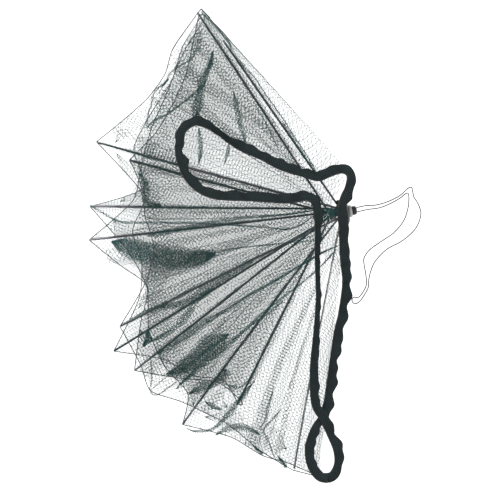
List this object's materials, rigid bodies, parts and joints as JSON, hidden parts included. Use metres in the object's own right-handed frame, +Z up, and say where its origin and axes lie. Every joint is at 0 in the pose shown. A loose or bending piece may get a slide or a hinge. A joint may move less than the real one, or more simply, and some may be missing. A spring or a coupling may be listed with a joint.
{
  "type": "folding bait trap",
  "caption": "Umbrella-style mesh bait trap, half folded into a fan and laid flat, with steel ribs, a zip mouth and a pull cord.",
  "frame": {"origin": "on the surface the trap lies on, at the middle of the rear hub's flat foot", "axes": "+Z up from the surface, the fan opens towards -X, +Y along the fan's long side"},
  "size_m": [0.3787, 0.5391, 0.0405],
  "materials": {
    "netting": "fine knotless nylon netting, dark green grey",
    "funnel_netting": "fine nylon netting, dark teal",
    "rib_steel": "drawn steel wire",
    "black_moulding": "moulded plastic, satin",
    "grey_moulding": "moulded plastic, satin",
    "zip_tape": "woven black tape with a nylon coil",
    "cord": "thin braided cord"
  },
  "bodies": {
    "root": {"net_outer": "netting", "net_inner": "netting", "wall_1": "netting", "wall_2": "netting", "wall_3": "netting", "wall_4": "netting", "wall_5": "netting", "wall_6": "netting", "funnel_1": "funnel_netting", "funnel_2": "funnel_netting", "funnel_3": "funnel_netting", "funnel_4": "funnel_netting", "funnel_5": "funnel_netting", "funnel_6": "funnel_netting", "rib_outer_a": "rib_steel", "rib_outer_b": "rib_steel", "rib_outer_c": "rib_steel", "rib_outer_d": "rib_steel", "rib_outer_e": "rib_steel", "rib_outer_f": "rib_steel", "rib_inner_a": "rib_steel", "rib_inner_b": "rib_steel", "rib_inner_c": "rib_steel", "rib_inner_d": "rib_steel", "rib_inner_e": "rib_steel", "rib_inner_f": "rib_steel", "hub_rear": "black_moulding", "hub_front": "grey_moulding", "tape_upper": "zip_tape", "tape_lower": "zip_tape", "pull_cord": "cord"}
  },
  "joints": []
}
